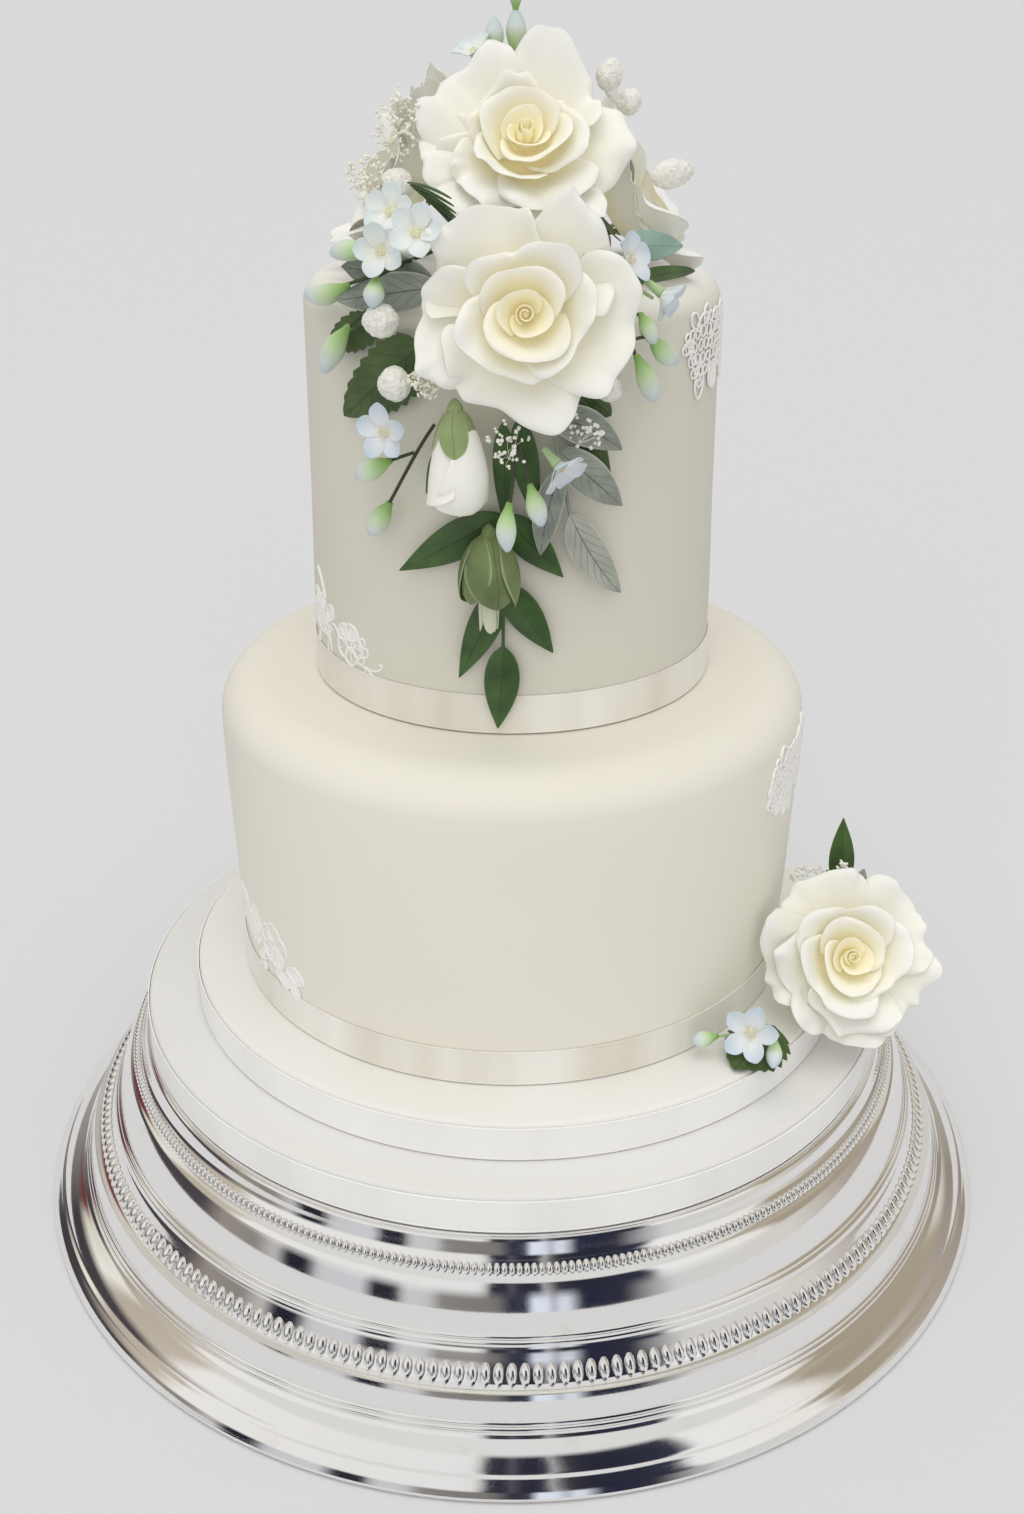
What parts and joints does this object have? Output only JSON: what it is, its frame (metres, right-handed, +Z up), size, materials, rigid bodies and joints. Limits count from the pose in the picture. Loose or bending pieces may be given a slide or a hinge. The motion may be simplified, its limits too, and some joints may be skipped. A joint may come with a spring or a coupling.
{
  "type": "tiered wedding cake",
  "caption": "Tiered wedding cake in ivory sugar paste with satin ribbons, lace relief and a trailing spray of sugar roses, on boards and a round beaded stand.",
  "frame": {"origin": "middle of the stand's foot, on the surface it stands on", "axes": "+Z up, -Y towards the front of the cake, +X towards its right as seen from the front"},
  "size_m": [0.4194, 0.4194, 0.4904],
  "materials": {
    "silver_plate": "polished silver plate with light wear at the rim",
    "sugar_paste": "smooth ivory sugar paste with a soft dull sheen",
    "board_icing": "smooth pale sugar paste",
    "satin_ribbon": "ivory satin, finely ribbed, with a soft sheen",
    "sugar_lace": "pearl-dusted sugar lace",
    "rose_petal": "matt flower paste, ivory with a warmer yellow heart",
    "green_sepal": "dusted green flower paste",
    "dark_leaf": "dark green, slightly waxy",
    "rose_leaf": "veined mid green, slightly waxy",
    "grey_leaf": "matt dusty grey green",
    "teal_leaf": "matt pale blue green",
    "filler_bud": "matt flower paste, green at the base fading to pale blue",
    "blue_blossom": "matt flower paste, pale blue with a cream heart",
    "white_berry": "white, rough with fine grains",
    "gypsophila": "dry off-white flower heads on fine stems"
  },
  "bodies": {
    "root": {"stand_wall": "silver_plate", "stand_top": "silver_plate", "stand_beads_large": "silver_plate", "stand_beads_small": "silver_plate", "board_lower": "board_icing", "board_lower_ribbon": "satin_ribbon", "board_upper": "board_icing", "board_upper_ribbon": "satin_ribbon", "tier_lower": "sugar_paste", "tier_lower_ribbon": "satin_ribbon", "tier_upper": "sugar_paste", "tier_upper_ribbon": "satin_ribbon", "lace_upper_left": "sugar_lace", "lace_upper_right": "sugar_lace", "lace_lower_left": "sugar_lace", "lace_lower_right": "sugar_lace", "rose_front": "rose_petal", "rose_top": "rose_petal", "rose_left": "rose_petal", "rose_right": "rose_petal", "rose_back": "rose_petal", "rose_side": "rose_petal", "rosebud_white": "rose_petal", "rosebud_green": "green_sepal", "ruscus_trail": "dark_leaf", "spray_stems": "dark_leaf", "long_leaf_right": "dark_leaf", "side_leaves": "dark_leaf", "rose_leaf_left_low": "rose_leaf", "rose_leaf_left_high": "rose_leaf", "dark_leaves_right": "rose_leaf", "side_rose_leaf": "rose_leaf", "grey_leaves_right": "grey_leaf", "grey_leaves_left": "grey_leaf", "teal_leaf_right": "teal_leaf", "bud_sprig_left": "filler_bud", "bud_left": "filler_bud", "bud_sprig_low": "filler_bud", "bud_pair_front": "filler_bud", "bud_sprig_right": "filler_bud", "bud_sprig_top": "filler_bud", "blossom_pair_left": "blue_blossom", "blossom_left": "blue_blossom", "blossom_low_left": "blue_blossom", "blossom_low_right": "blue_blossom", "blossom_pair_right": "blue_blossom", "blossom_top": "blue_blossom", "side_blossoms": "blue_blossom", "berry_upper_left": "white_berry", "berry_middle_left": "white_berry", "berry_lower_left": "white_berry", "berry_lower_right": "white_berry", "berry_right_long": "white_berry", "berry_pair_right": "white_berry", "gypsophila_upper_left": "gypsophila", "gypsophila_lower_left": "gypsophila", "gypsophila_front": "gypsophila", "gypsophila_side": "gypsophila"}
  },
  "joints": []
}
